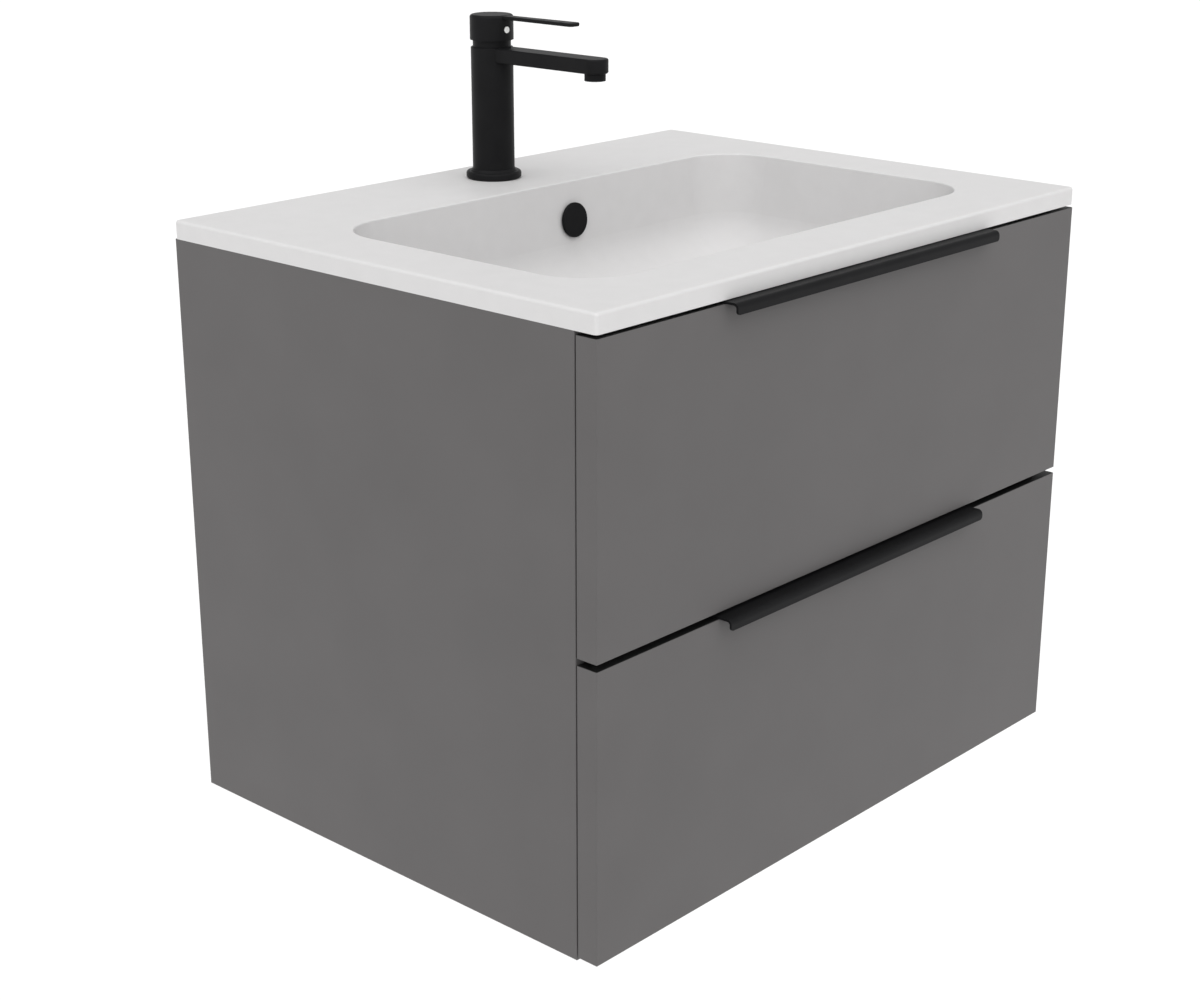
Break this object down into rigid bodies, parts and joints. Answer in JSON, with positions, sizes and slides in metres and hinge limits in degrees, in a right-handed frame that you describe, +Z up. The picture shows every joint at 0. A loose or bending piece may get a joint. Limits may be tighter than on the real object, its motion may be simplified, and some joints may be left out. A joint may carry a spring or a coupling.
{
  "type": "bathroom vanity cabinet",
  "caption": "Wall-hung bathroom vanity: grey board cabinet with drawers on telescopic runners, edge pulls, a moulded basin top and a single-lever black tap.",
  "frame": {"origin": "on the wall plane, at the middle of the width and the underside of the carcass", "axes": "+X across to the right seen from the front, +Y towards the wall, +Z up"},
  "size_m": [0.6, 0.462, 0.629],
  "materials": {
    "grey_laminate": "matt melamine face on board",
    "box_laminate": "matt melamine face on board",
    "cast_white": "satin white moulded mineral cast",
    "black_metal": "matt black coating",
    "black_plastic": "matt black",
    "black_brass": "matt black coating on brass",
    "zinc_steel": "zinc plated",
    "zinc_cast": "die-cast zinc",
    "brass_fittings": "turned brass",
    "seal_rubber": "soft black rubber",
    "grey_plastic": "moulded plastic",
    "white_plastic": "moulded plastic",
    "dowel_beech": "fluted beech"
  },
  "bodies": {
    "cabinet": {"side_panel_left": "grey_laminate", "side_panel_right": "grey_laminate", "bottom_panel": "grey_laminate", "front_rail": "box_laminate", "rear_rail": "grey_laminate", "lower_rail": "grey_laminate", "cam_locks": "zinc_cast", "cam_bolts": "zinc_steel", "dowels": "dowel_beech", "hanger_housings": "grey_plastic", "hanger_hooks": "zinc_steel", "wall_plates": "zinc_steel", "runner_screws": "zinc_steel", "lower_runner_outer": "zinc_steel", "upper_runner_outer": "zinc_steel", "basin": "cast_white", "overflow_cover": "black_plastic", "waste_body": "black_brass", "waste_seals": "seal_rubber", "waste_nut": "brass_fittings", "waste_latch": "grey_plastic", "tap_body": "black_metal", "tap_base_ring": "black_metal", "tap_base_seal": "seal_rubber", "tap_stud": "zinc_steel", "tap_clamp_rubber": "seal_rubber", "tap_clamp_plate": "zinc_steel", "tap_stud_nut": "zinc_steel", "tap_aerator": "black_plastic", "tap_cartridge": "grey_plastic", "tap_neck_nut": "black_metal"},
    "lower_drawer": {"lower_front": "grey_laminate", "lower_side_left": "box_laminate", "lower_side_right": "box_laminate", "lower_back": "box_laminate", "lower_bottom": "box_laminate", "lower_handle": "black_metal", "lower_fixings": "zinc_steel", "lower_buffers": "seal_rubber", "lower_runner_inner": "zinc_steel"},
    "lower_middle_rails": {"lower_runner_middle": "zinc_steel"},
    "upper_drawer": {"upper_front": "grey_laminate", "upper_side_left": "box_laminate", "upper_side_right": "box_laminate", "upper_backs": "box_laminate", "upper_bottom": "box_laminate", "upper_notch_left": "box_laminate", "upper_notch_right": "box_laminate", "upper_notch_front": "box_laminate", "upper_handle": "black_metal", "upper_fixings": "zinc_steel", "upper_buffers": "seal_rubber", "upper_runner_inner": "zinc_steel"},
    "upper_middle_rails": {"upper_runner_middle": "zinc_steel"},
    "waste_plug": {"waste_plug": "black_brass"},
    "mixer": {"tap_carrier": "grey_plastic"},
    "lever": {"tap_spindle": "brass_fittings", "tap_lever": "black_metal", "tap_grub_screw": "zinc_steel", "tap_indicator": "white_plastic"}
  },
  "joints": [
    {"name": "lower_drawer_slide", "type": "slide", "parent": "cabinet", "child": "lower_drawer", "axis": [0, -1, 0], "range_m": [0, 0.34]},
    {"name": "lower_middle_rails_slide", "type": "slide", "parent": "cabinet", "child": "lower_middle_rails", "axis": [0, -1, 0], "range_m": [0, 0.17]},
    {"name": "upper_drawer_slide", "type": "slide", "parent": "cabinet", "child": "upper_drawer", "axis": [0, -1, 0], "range_m": [0, 0.34]},
    {"name": "upper_middle_rails_slide", "type": "slide", "parent": "cabinet", "child": "upper_middle_rails", "axis": [0, -1, 0], "range_m": [0, 0.17]},
    {"name": "mixer_turn", "type": "hinge", "parent": "cabinet", "child": "mixer", "pos_m": [0, -0.055, 0.605], "axis": [0, 0, 1], "range_deg": [-45, 45]},
    {"name": "lever_lift", "type": "hinge", "parent": "mixer", "child": "lever", "pos_m": [0, -0.055, 0.605], "axis": [-1, 0, 0], "range_deg": [0, 15]},
    {"name": "plug_press", "type": "slide", "parent": "cabinet", "child": "waste_plug", "axis": [0, 0, 1], "range_m": [-0.007, 0], "stiffness_N_per_m": 150}
  ],
  "couplings": [
    {"joint": "lower_middle_rails_slide", "follows": "lower_drawer_slide", "ratio": 0.5},
    {"joint": "upper_middle_rails_slide", "follows": "upper_drawer_slide", "ratio": 0.5}
  ]
}
